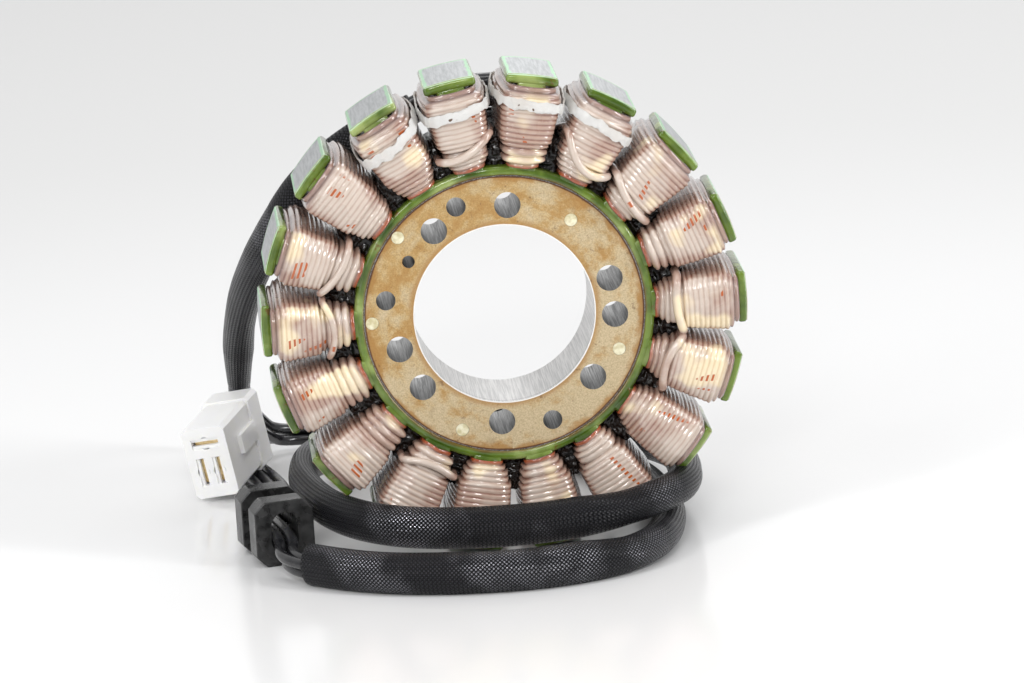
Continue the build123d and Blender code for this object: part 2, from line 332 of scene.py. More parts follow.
# %% [markdown]
# ## The windings' finish
# Enamelled copper shows through cloudy varnish, mauve and brown, and resin has dried in cream patches.
# The crests are painted pale and the valleys darker, as painted shade, and the flanks and a band
# under the shoes are painted darker still, as painted shade. Next to the yoke the copper is nearly
# bare and glows orange. Short orange dashes lie on crests at the front and the rear. Each winding stores how
# deep a point lies in its valley, and how far it is from the axis, so the pattern follows the turns.

# %% Varnished copper
lap_length = 60  # one turn round a winding, on its UV map
copper, copper_surface, spot = finish("varnished_copper", (0.4, 0.25, 0.2), 0.24, coat=1.0,
                                      coat_roughness=0.09)
valley = spot.node("ShaderNodeAttribute", {"attribute_name": "mark"}, output=2)
lap, reach, _ = own_uv(spot).parts()
front_side = (lap * (2 * pi / lap_length)).sin()
# The flanks, between neighbouring windings, are painted darker and redder, as painted shade, and get fewer cream
# patches.
shaded_flank = (1.0 - front_side.abs()).step(0.02, 0.45)
drift = spot.noise(75, 3)
fine = spot.noise(420, 2)
# Valleys between the turns are painted darker than the crests in every tone below: painted shade.
painted_groove_shade = (valley + (fine - 0.5) * 0.3).step(0.25, 0.95)
smoky = painted_groove_shade.blend((0.57, 0.475, 0.405), (0.47, 0.36, 0.295))
clear = painted_groove_shade.blend((0.42, 0.285, 0.225), (0.24, 0.115, 0.080))
drift_and_flank_shade = (drift + shaded_flank * 0.20).step(0.46, 0.64).blend(smoky, clear)
cream_place = (spot.noise(88, 2, 0.4) - shaded_flank * 0.14).step(0.53, 0.64)
varnish_and_painted_shade = cream_place.blend(drift_and_flank_shade, painted_groove_shade.blend((0.80, 0.67, 0.46), (0.66, 0.51, 0.32)))
uneven_reach = reach + (drift - 0.5) * 2.4
near_yoke = uneven_reach.step(37.2, 38.8, 1.0, 0.0)
bare_depth = (painted_groove_shade + (fine - 0.5) * 0.9).step(0.0, 0.45)
bare = bare_depth.blend((0.33, 0.075, 0.024), (0.12, 0.035, 0.022))
# A band just under the shoe is painted darker and redder: painted shade under the overhang.
painted_shade_under_shoe = uneven_reach.step(54.8, 56.6) * 0.85
reddish_painted_shade = painted_groove_shade.blend((0.27, 0.155, 0.125), (0.085, 0.032, 0.025))
band = ((lap + reach * 0.3) * 0.36).joined(reach * 0.085, 0.0).noise(1.0, 0, 0.3)
dash = band.step(0.67, 0.685) * valley.step(0.2, 0.5, 1.0, 0.0) * shaded_flank.step(0.1, 0.3, 1.0, 0.0)
in_block = reach.step(43.5, 44.0) * reach.step(54.0, 54.5, 1.0, 0.0)
with_dashes = (dash * in_block).blend(varnish_and_painted_shade, (0.40, 0.080, 0.008))
drive(copper_surface, "Base Color", painted_shade_under_shoe.blend(near_yoke.blend(with_dashes, bare), reddish_painted_shade))
drive(copper_surface, "Roughness", spot.noise(150, 3).step(0.35, 0.7, 0.14, 0.36))
bump(copper_surface, spot.noise(240, 3) + fine * 0.4, 0.00018, 0.7)

# %% Painted shade between the windings
# The dark lumps in the slots are painted shade, where the slots lie in shadow.
slot_shade, slot_shade_surface, spot = finish("slot_resin", (0.03, 0.022, 0.018), 0.25, coat=0.3,
                                    specular=0.25)
mottle(slot_shade_surface, spot, 260, 4, (0.001, 0.001, 0.001), (0.012, 0.007, 0.005))
uneven_gloss(slot_shade_surface, spot, 300, 2, 0.08, 0.30)
bump(slot_shade_surface, spot.noise(230, 2, 0.5), 0.0006, 0.8)

# %% [markdown]
# ## The green coat
# An epoxy powder flowed over the poles before they were wound. It is glossy, a little uneven,
# darker where it is thick, and it has chipped to brown at some corners.

# %% Green coat
green, green_surface, spot = finish("green_coat", (0.10, 0.22, 0.03), 0.2, coat=0.7,
                                    coat_roughness=0.06, specular=0.3)
*_, radius = from_axis(spot)
cloud = spot.noise(120, 4)
leaf = cloud.step(0.3, 0.72).blend((0.045, 0.092, 0.006), (0.165, 0.250, 0.028))
pale = (spot.noise(60, 3).step(0.52, 0.68) * 0.7).blend(leaf, (0.40, 0.48, 0.18))
inner_edge = (radius + (cloud - 0.5) * 1.5).step(34.7, 35.5, 1.0, 0.0) * 0.9
corner_spots = spot.noise(150, 5, 0.7).step(0.60, 0.66)
stain = corner_spots.highest(inner_edge)
outer_frame = (radius + (cloud - 0.5) * 0.3).step(59.70, 59.86)
browned = (stain * 0.8).blend(pale, (0.135, 0.062, 0.015))
minted = outer_frame.blend(browned, (0.50, 0.73, 0.48))
drive(green_surface, "Base Color", minted)
drive(green_surface, "Roughness", cloud.step(0.3, 0.7, 0.12, 0.32))
bump(green_surface, spot.noise(200, 3), 0.00045, 0.7)

# %% [markdown]
# ## Steel with old lacquer
# The mounting ring is stained by lacquer and heat: tan all over, ochre at its upper left, and
# browner and pitted next to its rim and the bore. A pale ring on the bore's edge is a painted
# highlight. The bore and the holes are clean cut metal; the holes' walls are painted darker, as
# painted shade. The shoes' outer faces are ground, with a thin mint frame of coat round them.

# %% Steel
steel, steel_surface, spot = finish("stained_steel", (0.5, 0.5, 0.5), 0.35)
outer_radius = 60
front_joint = 0.0105  # the front plate's joint, in metres before the middle of the core
x, y, z, radius = from_axis(spot)
depth = y.abs() * 1000
on_face = depth.step(11.90, 11.97)
along_ring = x.math("ARCTAN2", z)
clouds = (along_ring * 5.0).joined(radius * 0.24, 0.3).noise(1.0, 5, 0.62)
grains = spot.noise(2600, 3, 0.6)
specks = spot.noise(620, 4, 0.75).step(0.60, 0.72)
high_left = (z * 10 - x * 8 + (clouds - 0.5) * 3.0).step(-0.35, 0.55)
tan_tone = grains.step(0.2, 0.8).blend((0.38, 0.295, 0.165), (0.61, 0.49, 0.31))
ochre = grains.step(0.15, 0.85).blend((0.31, 0.175, 0.042), (0.55, 0.36, 0.125))
washed = (high_left * 0.8).blend(tan_tone, ochre)
smudge = clouds.step(0.48, 0.66) * 0.6
rim_heat = (radius + (clouds - 0.5) * 7).step(32.6, 34.2) * 0.8
bore_heat = (radius + (clouds - 0.5) * 3).step(22.6, 24.2, 1.0, 0.0) * 0.7
edge_heat = rim_heat.highest(bore_heat)
heated = edge_heat.highest(smudge * high_left).blend(washed, (0.34, 0.165, 0.035))
pits = spot.noise(270, 3, 0.6).step(0.64, 0.70) * (edge_heat * 0.8 + 0.15)
speckled = (specks * 0.6).highest(pits).blend(heated, (0.13, 0.060, 0.022))
edge_line = (radius - 34.4 + (clouds - 0.5) * 0.5).abs().step(0.12, 0.38, 1.0, 0.0)
lined = edge_line.blend(speckled, (0.10, 0.036, 0.010))
# A pale ring on the face at the bore's edge: a painted highlight.
painted_bore_highlight = radius.step(22.42, 22.60, 1.0, 0.0)
lined = painted_bore_highlight.blend(lined, (0.80, 0.79, 0.76))
brushed = spot.scaled(2600, 60, 2600).noise(1.0, 3, 0.7)
# Walls further out than the bore, those of the holes, are painted darker: painted shade.
painted_hole_shade = radius.step(22.6, 23.0)
cut_metal_and_hole_shade = brushed.step(0.35, 0.65).blend(painted_hole_shade.blend((0.52, 0.515, 0.51), (0.13, 0.13, 0.13)),
                                       painted_hole_shade.blend((0.74, 0.73, 0.72), (0.42, 0.42, 0.42)))
near_joint = ((y + front_joint) * 1000).abs().step(0.06, 0.16, 1.0, 0.0)
joint = near_joint * radius.step(22.6, 23.0, 1.0, 0.0)
walls = (joint * 0.8).blend(cut_metal_and_hole_shade, (0.08, 0.07, 0.06))
outside = radius.step(58.8, 59.4)
shoe_grain = spot.scaled(1500, 130, 1500).noise(1.0, 4, 0.7)
ground = shoe_grain.step(0.3, 0.7).blend((0.42, 0.435, 0.44), (0.58, 0.59, 0.60))
pole_place = (along_ring * (pole_count / (2 * pi)) + pole_count).fract() - 0.5
from_middle = pole_place.abs() * (2 * pi * outer_radius / pole_count)
ragged = (spot.noise(330, 4, 0.7) - 0.5) * 1.6
film = (from_middle + ragged).step(5.15, 5.45).highest((depth + ragged).step(11.0, 11.3))
shell = outside.blend(walls, (film * 0.85).blend(ground, (0.47, 0.72, 0.50)))
drive(steel_surface, "Base Color", on_face.blend(shell, lined))
drive(steel_surface, "Metallic", on_face.step(0.0, 1.0, 0.92, 0.12))
dullness = on_face.step(0.0, 1.0, 0.34, 0.46) + outside * 0.18
drive(steel_surface, "Roughness", dullness + (grains - 0.5) * 0.12)
bump(steel_surface, grains + specks * 0.3, 0.00005, 0.5)

# %% [markdown]
# ## The small finishes
# Rivet ends are pale brass, the lacing is matt cotton, the splices and wires are smooth black
# plastic, and the connector is milky nylon.

# %% Rivet, terminal and tape
rivet_brass, rivet_surface, spot = finish("rivet_brass", (0.72, 0.66, 0.42), 0.42, metallic=0.35)
mottle(rivet_surface, spot, 700, 3, (0.60, 0.53, 0.30), (0.86, 0.82, 0.62))

terminal_brass, terminal_surface, spot = finish("terminal_brass", (0.62, 0.45, 0.2), 0.35,
                                                metallic=0.9)
mottle(terminal_surface, spot, 500, 3, (0.45, 0.31, 0.13), (0.78, 0.62, 0.36))

tape_white, tape_surface, spot = finish("lacing_tape", (0.86, 0.855, 0.84), 0.85, specular=0.2)
weave_u, weave_v, _ = own_uv(spot).parts()
threads = (weave_v * 1500).sin() * (weave_u * 50).sin()
spots = spot.noise(300, 2).step(0.70, 0.73)
soiled = spot.noise(120, 3).step(0.45, 0.75) * 0.5
cloth = threads.step(-1, 1).blend((0.58, 0.575, 0.555), (0.74, 0.73, 0.71))
worn = soiled.blend(cloth, (0.56, 0.49, 0.42))
drive(tape_surface, "Base Color", spots.blend(worn, (0.13, 0.085, 0.06)))
bump(tape_surface, threads * 0.5 + spot.noise(420, 3) * 2.0, 0.00012, 0.7)

# %% Wires, splices and rubber
wire_black, wire_surface, spot = finish("wire_insulation", (0.012, 0.012, 0.014), 0.22, coat=0.3)
mottle(wire_surface, spot, 300, 3, (0.008, 0.008, 0.010), (0.022, 0.022, 0.024))
uneven_gloss(wire_surface, spot, 120, 3, 0.16, 0.34)

rubber, rubber_surface, spot = finish("grommet_rubber", (0.02, 0.02, 0.02), 0.38)
mottle(rubber_surface, spot, 400, 4, (0.010, 0.010, 0.010), (0.036, 0.036, 0.036))
uneven_gloss(rubber_surface, spot, 200, 3, 0.20, 0.38)
bump(rubber_surface, spot.noise(900, 2), 0.00004, 0.4)

# %% Nylon
nylon, nylon_surface, spot = finish("connector_nylon", (0.86, 0.86, 0.84), 0.28)
nylon_surface.inputs["Subsurface Weight"].default_value = 0.6
nylon_surface.inputs["Subsurface Radius"].default_value = (0.008, 0.008, 0.007)
mottle(nylon_surface, spot, 90, 3, (0.92, 0.92, 0.905), (0.96, 0.96, 0.95))
bump(nylon_surface, spot.noise(600, 2), 0.00003, 0.3)

# %% [markdown]
# ## Braid
# The sleeves are woven from fine black threads that cross in a herringbone. The pattern is
# drawn on the tube's own UV map: U runs round the sleeve and V along it, in metres. Painted
# glints, pale and metallic, lie where strands cross, most of all in painted patches of light.

# %% Braid
strands_round, strands_along = 30, 1000
braid, braid_surface, spot = finish("black_braid", (0.02, 0.02, 0.025), 0.38, specular=0.14)
around, along, _ = own_uv(spot).parts()
right_lay = around * strands_round + along * strands_along
left_lay = around * strands_round - along * strands_along
right_place, left_place = right_lay.fract(), left_lay.fract()
over = (((right_lay * 0.5).fract() > 0.5) - ((left_lay * 0.5).fract() > 0.5)).abs()
strand_place = right_place * over + left_place * (1.0 - over)
ridge = (strand_place * pi).sin()
crossing = (right_place * pi).sin() * (left_place * pi).sin()
# Painted glints at the crossings, strongest in painted patches of light.
painted_light_patch = (spot.noise(26, 2, 0.4) + (spot.noise(150, 2) - 0.5) * 0.25).step(0.50, 0.66)
painted_glint = crossing.step(0.45, 0.80) * (painted_light_patch * 0.9 + 0.1)
braid_tone = ridge.step(0.35, 0.95).blend((0.001, 0.001, 0.001), (0.008, 0.008, 0.010))
drive(braid_surface, "Base Color", painted_glint.blend(braid_tone, (0.30, 0.30, 0.33)))
drive(braid_surface, "Metallic", painted_glint * 0.9)
drive(braid_surface, "Roughness", ridge.step(0.2, 0.9, 0.45, 0.15))
bump(braid_surface, ridge, 0.00018, 1.0)

# %% [markdown]
# ## A surface wrapped by a rule
# Windings, tape and sleeves are closed bands: something runs round them and something runs along
# them. A flat grid is bent into such a band by one rule, and the seams where its edges meet are
# merged. The grid's own UV map then follows the band, for its pattern.

# %% Wrap a grid into a closed band


def clamp(value, low=0, high=1):
    return min(max(value, low), high)


def ripple(turn, scale, level):
    """Smooth noise along a turn; each level has its own."""
    return noise.noise(Vector((cos(turn) * scale, sin(turn) * scale, level)))


def wrap(around, along, place, mark=None, uv=None):
    """Bend a grid by place(u, v) and merge its seams. mark(u, v) fills an attribute called mark,
    and uv(u, v) rewrites the UV map."""
    bm = bmesh.new()
    uv_map = bm.loops.layers.uv.new("UVMap")
    bmesh.ops.create_grid(bm, x_segments=around, y_segments=along, size=0.5, calc_uvs=True)
    level = bm.verts.layers.float.new("mark")
    if uv:
        for face in bm.faces:
            for loop in face.loops:
                loop[uv_map].uv = uv(loop.vert.co.x + 0.5, loop.vert.co.y + 0.5)
    for vert in bm.verts:
        u, v = vert.co.x + 0.5, vert.co.y + 0.5
        vert[level] = mark(u, v) if mark else 0.0
        vert.co = place(u, v)
    bmesh.ops.remove_doubles(bm, verts=bm.verts, dist=1e-7)
    bmesh.ops.recalc_face_normals(bm, faces=bm.faces)
    return bm


def mesh_of(name, bm):
    """A mesh made from a bmesh, which is then freed."""
    mesh = bpy.data.meshes.new(name)
    bm.to_mesh(mesh)
    bm.free()
    return mesh


def piece(name, bm, material, slot, *nodes, sharp=None):
    """Turn a bmesh into a smooth piece that rides on the body and stands for the given nodes."""
    mesh = mesh_of(name, bm)
    mesh.shade_smooth()
    if sharp:
        mesh.set_sharp_from_angle(angle=radians(sharp))
    mesh.materials.append(material)
    made = add(name, mesh)
    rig.ride(made, "root")
    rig.slot(made, slot)
    if nodes:
        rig.replaces(made, *nodes)
    return made


# %% [markdown]
# ## The harness routes
# Each sleeve and wire has the control points of the CAD model's tube, apart from five in the long
# sleeve's upper loop, which lie 2.0 to 4.3 mm further left. The wires share one route and keep
# their places in the bundle, as three wires in a sleeve do.

# %% Routes, as x, y and height above the floor in millimetres


def lay(route):
    return [Vector((x, y, h)) * MM + Vector((0, 0, FLOOR)) for x, y, h in route]


lead_points = lay([(-17.5, 23.6, 106), (-31, 25.0, 99.6), (-45.5, 28, 88.3), (-54, 35.5, 75),
                   (-60, 52, 61.4), (-63.2, 72, 47), (-64.5, 88, 34), (-64.6, 99, 21.6)])
main_points = lay([
    (-52.3, -31.0, 4.5), (-43.8, -39.4, 4.5), (-27, -48.0, 4.5), (-5, -51.8, 4.5),
    (16, -48, 4.5), (32, -35.5, 4.5), (38.5, -12, 4.5), (38.5, 14, 4.5), (33, 42, 4.5),
    (18, 68, 5), (-7, 82, 5.8), (-32, 80, 7.5), (-47.5, 60, 9.8), (-52, 34, 10.9),
    (-49.3, 11, 11.2), (-44.5, -9, 11.7), (-33.5, -25.8, 12), (-16, -32, 11.5), (3, -32, 11.3),
    (22.4, -31.8, 12.7), (35.3, -24.9, 14.3), (42.4, -12.3, 13.9), (44.3, 9.6, 12.4),
    (44.6, 34, 10), (39, 66, 5.6), (19, 89, 4.5), (-8, 102, 4.5), (-31, 106.4, 4.5),
    (-46.8, 104.2, 4.5)])
wire_diameter = 2.8 * MM

# %% A smooth spline through a list of control points


def spline(name, points, bevel=0.0):
    """A NURBS curve of order 3 that starts and ends at its end points."""
    curve = bpy.data.curves.new(name, "CURVE")
    curve.dimensions = "3D"
    curve.resolution_u = 12
    curve.bevel_depth = bevel
    curve.bevel_resolution = 5
    curve.use_fill_caps = bevel > 0
    line = curve.splines.new("NURBS")
    line.points.add(len(points) - 1)
    for point, place in zip(line.points, points):
        point.co = (*place, 1.0)
    line.order_u = 3
    line.use_endpoint_u = True
    return add(name, curve)


def read_line(points):
    """The points of the smooth spline, in order, from a curve with no bevel."""
    guide = spline("guide", points)
    line = bpy.data.meshes.new_from_object(guide)
    path = [vert.co.copy() for vert in line.vertices]
    bpy.data.objects.remove(guide)
    bpy.data.meshes.remove(line)
    return path


def lengths(path):
    """How far along the path each of its points is."""
    done = [0.0]
    for before, after in zip(path, path[1:]):
        done.append(done[-1] + (after - before).length)
    return done


# %% [markdown]
# ## Braided sleeves
# A braid has no shape of its own: round the foot of the stator it has slumped to an oval that
# stands on its narrow side. The tube is wrapped round the spline, and its height and width
# change along the way. Its ends are cut square and turn in a little.

# %% Wrap a tube round a path


def sleeve(name, points, size, node):
    """A braided tube; size(point, share) gives its half width, half height and lift."""
    path = read_line(points)
    done = lengths(path)
    total = done[-1]
    ring_spacing = 1.6 * MM
    rings = int(total / ring_spacing)

    def at(share):
        """The point and direction at a share of the length."""
        goal = share * total
        index = clamp(sum(1 for d in done if d <= goal) - 1, 0, len(path) - 2)
        before, after = path[index], path[index + 1]
        inside = (goal - done[index]) / max(done[index + 1] - done[index], 1e-9)
        return before.lerp(after, inside), (after - before).normalized()

    spine = [at(i / rings) for i in range(rings + 1)]
    # Each closing ring's share of the size, and how deep it lies in millimetres; 0 is the open end.
    closing = {0: (1.0, 0.0), -1: (0.86, 0.0), -2: (0.84, 2.0), -3: (0.80, 5.0)}
    end_rings = len(closing) - 1

    def place(u, v):
        ring = round(v * (rings + 2 * end_rings)) - end_rings
        inward = min(ring, rings - ring, 0)
        point, forward = spine[clamp(ring, 0, rings)]
        side = forward.cross(Vector((0, 0, 1))).normalized()
        rise = side.cross(forward)
        half_width, half_height, lift = size(point, clamp(ring / rings))
        shrink, depth = closing[inward]
        turn = 2 * pi * u
        crease = 1 + 0.035 * noise.noise(point * 60 + Vector((cos(turn), sin(turn), 0)) * 0.7)
        hollow = forward * (depth * MM) * (1 if ring < 0 else -1)
        return (point + hollow + rise * lift + side * half_width * shrink * crease * cos(turn)
                + rise * half_height * shrink * crease * sin(turn))

    bm = wrap(32, rings + 2 * end_rings, place, uv=lambda u, v: (u, v * total))
    bmesh.ops.holes_fill(bm, edges=[e for e in bm.edges if e.is_boundary], sides=0)
    bmesh.ops.recalc_face_normals(bm, faces=bm.faces)
    made = piece(name, bm, braid, "black_braid", node)
    print(name, "length", round(total / MM, 1), "mm")
    return made, path, total


def lead_size(point, share):
    """A little taller than wide, and narrower towards both ends."""
    end_share = 0.12
    swell = 3.8 + 1.2 * min(share, 1 - share, end_share) / end_share
    return swell * 0.82 * MM, swell * MM, 0.0


def main_size(point, share):
    """Tall ovals in front and round in the hump where the loops cross."""
    crossing = clamp((point.x / MM - 14) / 12)
    tall = 5.2 - 0.9 * crossing
    wide = 3.7 + 0.6 * crossing
    lift = max(tall * MM + FLOOR - point.z, 0.0)
    return wide * MM, tall * MM, lift


lead_tube, lead_path, lead_length = sleeve("first_sleeve", lead_points, lead_size, "lead_sleeve")
main_tube, main_path, main_length = sleeve("long_sleeve", main_points, main_size, "main_sleeve")

# %% [markdown]
# ## Wires
# The three wires follow one shared route. Each keeps its own place beside it: a triangle in the
# sleeves and the grommet, and a flat row on the table.

# %% Places in the bundle
bundle = ((-1.55, 0.9), (1.55, 0.9), (0.0, -1.8))
opening = ((-2.3, 0.9), (2.3, 0.9), (0.0, -1.8))
flattening = ((-3.05, -0.4), (3.05, -0.4), (0.0, -1.0))
ribbon = ((-3.05, 0.0), (3.05, 0.0), (0.0, 0.0))


def strand(points, side, places):
    """Move each point of a shared route sideways, to its place in the bundle."""
    moved = []
    last = len(points) - 1
    for i, point in enumerate(points):
        arriving = (points[max(i, 1)] - points[max(i, 1) - 1]).normalized()
        leaving = (points[min(i + 1, last)] - points[min(i, last - 1)]).normalized()
        along = (arriving + leaving).normalized()
        across = (side - along * side.dot(along)).normalized()
        offset = (across * places[i][0] + along.cross(across) * places[i][1]) * MM
        bend = leaving - arriving
        if bend.length > 0.001:
            inward = bend.normalized()
            offset += inward * offset.dot(inward) * (1 / along.dot(leaving) - 1)
        moved.append(point + offset)
    for end, beside in ((0, 1), (-1, -2)):
        run = (points[beside] - points[end]).normalized()
        moved[beside] = moved[end] + run * run.dot(moved[beside] - moved[end])
    return moved


def wire(name, points, node):
    made = spline(name, points, wire_diameter / 2)
    made.data.materials.append(wire_black)
    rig.ride(made, "root")
    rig.slot(made, "black_wire")
    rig.replaces(made, node)
    return made


# %% Straight runs of wire beside the splices, the sleeves, the grommet and the connector
splice_exit, sleeve_entry, sleeve_exit = 3.0 * MM, 3.5 * MM, 5.5 * MM
grommet_entry, grommet_exit_run = 5 * MM, 2.5 * MM
main_entry, main_exit, connector_entry = 8.5 * MM, 9.0 * MM, 6.3 * MM
outer_wire_reach = 0.6

# %% Where the grommet and the connector stand
grommet_low, grommet_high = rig.box("grommet")
grommet_turn = radians(12.6)
grommet_axis = Vector((sin(grommet_turn), -cos(grommet_turn), 0))
grommet_centre = (grommet_low + grommet_high) / 2
grommet_length = 20 * MM
half_grommet_height = 8.25 * MM
wires_below_middle = 1.6 * MM
hole_height = grommet_high.z - FLOOR - half_grommet_height - wires_below_middle
housing_corner = Vector((-78.5, 58.5, 0)) * MM + Vector((0, 0, FLOOR))
housing_yaw, housing_pitch, housing_roll = radians(-19.4), radians(5), radians(-9)
housing_place = (Matrix.Translation(housing_corner) @ Matrix.Rotation(housing_yaw, 4, "Z")
                 @ Matrix.Rotation(housing_pitch, 4, "X") @ Matrix.Rotation(housing_roll, 4, "Y"))
# Each terminal's place in the housing is (x, z, turned upright), in millimetres.
terminal_places = ((4.3, 7.6, True), (8.7, 7.6, True), (6.5, 15.2, False))
housing_width, housing_length = 13 * MM, 28 * MM
housing_axis = housing_place.to_3x3() @ Vector((0, 1, 0))

# %% Short leads from the splices into the first sleeve
splice_low, splice_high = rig.box("lead_splice_1")
splice_y = (splice_low.y + splice_high.y) / 2
into_sleeve = (lead_points[1] - lead_points[0]).normalized()
entry_up = (Vector((0, 0, 1)) - into_sleeve * into_sleeve.z).normalized()
entry_side = into_sleeve.cross(entry_up)
short_leads = []
for number, (aside, rise) in enumerate(((-1.3, -1.8), (2.2, 0.0), (-1.3, 1.8)), 1):
    low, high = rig.box(f"lead_splice_{number}")
    start = Vector((splice_low.x, splice_y, (low.z + high.z) / 2))
    end = lead_points[0] + (entry_side * aside + entry_up * rise) * MM
    route = [start, start - Vector((splice_exit, 0, 0)), end - into_sleeve * sleeve_entry, end]
    short_leads.append(wire(f"short_lead_{number}", route, f"lead_wire_{number}"))

# %% Bare wires from the first sleeve through the grommet
on_floor = 1.4
into_main = (main_points[1] - main_points[0]).normalized()
out_of_lead = (lead_points[-1] - lead_points[-2]).normalized()
grommet_rear = grommet_centre - grommet_axis * (grommet_length / 2 + grommet_entry)
grommet_exit = grommet_centre + grommet_axis * (grommet_length / 2 + grommet_exit_run)
in_hole = FLOOR + hole_height
middle_route = [lead_points[-1], lead_points[-1] + out_of_lead * sleeve_exit] + lay([
    (-65.1, 104.0, 10.9), (-65.5, 101.0, 5.0), (-65.5, 95.4, 2.4), (-64.0, 85.5, on_floor),
    (-61.0, 75, on_floor), (-58.4, 62, on_floor), (-57.4, 47, on_floor + 0.1), (-58.8, 31, 3.8)]) + [
    Vector((grommet_rear.x, grommet_rear.y, in_hole)),
    Vector((grommet_exit.x, grommet_exit.y, in_hole)),
    main_points[0] - into_main * main_entry,
    main_points[0]]
arrangements = (bundle, bundle, bundle, opening, flattening, ribbon, ribbon, ribbon, ribbon,
                opening, bundle, bundle, bundle, bundle)
middle_wires = []
for number in range(3):
    route = strand(middle_route, Vector((1, 0, 0)), [places[number] for places in arrangements])
    middle_wires.append((wire(f"bare_wire_{number + 1}", route, f"wire_{number + 1}_mid"), route))

# %% Bare wires from the long sleeve into the connector
out_of_main = (main_points[-1] - main_points[-2]).normalized()
end_side = (Vector((0, 0, 1)) - out_of_main * out_of_main.z).normalized()
end_across = out_of_main.cross(end_side)
crimp_end = 22.5 * MM
end_wires = []
for number, (x, z, _) in enumerate(terminal_places):
    across, above = bundle[number]
    start = main_points[-1] - (end_across * across + end_side * above) * MM
    crimp = housing_place @ Vector((x * MM, crimp_end, z * MM))
    extra = outer_wire_reach * (housing_width - 2 * x * MM) / 2
    far = crimp + housing_axis * (housing_length - crimp_end + connector_entry + extra)
    turn_point = start + out_of_main * (main_exit + extra)
    slack = Vector((-0.1, 0.9, -0.6)) * MM
    between = far * 0.5 + turn_point * 0.5 + slack
    route = [start, turn_point, between, far, crimp]
    end_wires.append((wire(f"end_wire_{number + 1}", route, f"wire_{number + 1}_end"), route))

# %% [markdown]
# ## The windings
# A winding is one band wrapped round its tooth. Its section is a row of round crests, one for
# each turn, with valleys between them, and a plain inner wall against the tooth. Each coil has
# its own plan: how many thin turns lie at the root, how many fat loose turns follow, and how the
# tight block above them is pitched. A hand-wound look comes from small shifts of every turn.

# %% The outline of a turn
coil_root, coil_top = 36.95, 57.65
winding_depth = 9.1


def outline(turn, half_width, corner=5.4, soft=1.6):
    """A point on a soft rounded rectangle at an angle, and the way out from it, in millimetres."""
    half_depth = half_width + winding_depth
    c, s = cos(turn), sin(turn)
    flat_x = clamp(c * soft, -1, 1)
    flat_y = clamp(s * soft, -1, 1)
    corner = min(corner, half_width - 0.6)
    point = Vector(((half_width - corner) * flat_x + corner * c,
                    (half_depth - corner) * flat_y + corner * s, 0))
    return point, Vector((c, s, 0))


def pole_matrix(index):
    """Takes a place beside an upright tooth, in millimetres, to the tooth with this index."""
    return Matrix.Rotation(2 * pi / pole_count * (index + 0.5), 4, "Y") @ to_metres


def front_share(point, half_width):
    """1 at the front of a winding, 0 at its back."""
    return clamp(0.5 - point.y / (half_width + winding_depth) * 0.9)


# %% The turns of one coil, as (height, half width, half pitch, depth of the valley above)
thin_half, thin_valley = 0.62, 0.26
fat_half, fat_valley = 0.98, 0.75
block_valley = 0.10
slot_gap = 0.28
widest = 8.25


def turns_of(thin, fat, pitch, seed):
    turns = []
    height = coil_root
    for i in range(thin):
        turns.append((height + thin_half, min(4.7 + 0.75 * i, 6.3), thin_half, thin_valley))
        height += 2 * thin_half
    for i in range(fat):
        turns.append((height + fat_half, 6.15 + 0.2 * i, fat_half, fat_valley))
        height += 2 * fat_half
    block_start = height
    count = round((coil_top - block_start) / pitch)
    pitch = (coil_top - block_start) / count
    for i in range(count):
        middle = block_start + (i + 0.5) * pitch
        room = middle * tan(radians(180 / pole_count)) - slot_gap
        width = min(7.1 + 1.5 * (i / count), room, widest)
        width += 0.10 * noise.noise(Vector((seed * 3.1, middle * 0.9, 0)))
        width -= {0: 0.55, count - 2: 0.45, count - 1: 1.5}.get(i, 0.0)
        turns.append((middle, width, pitch / 2, block_valley))
    return turns


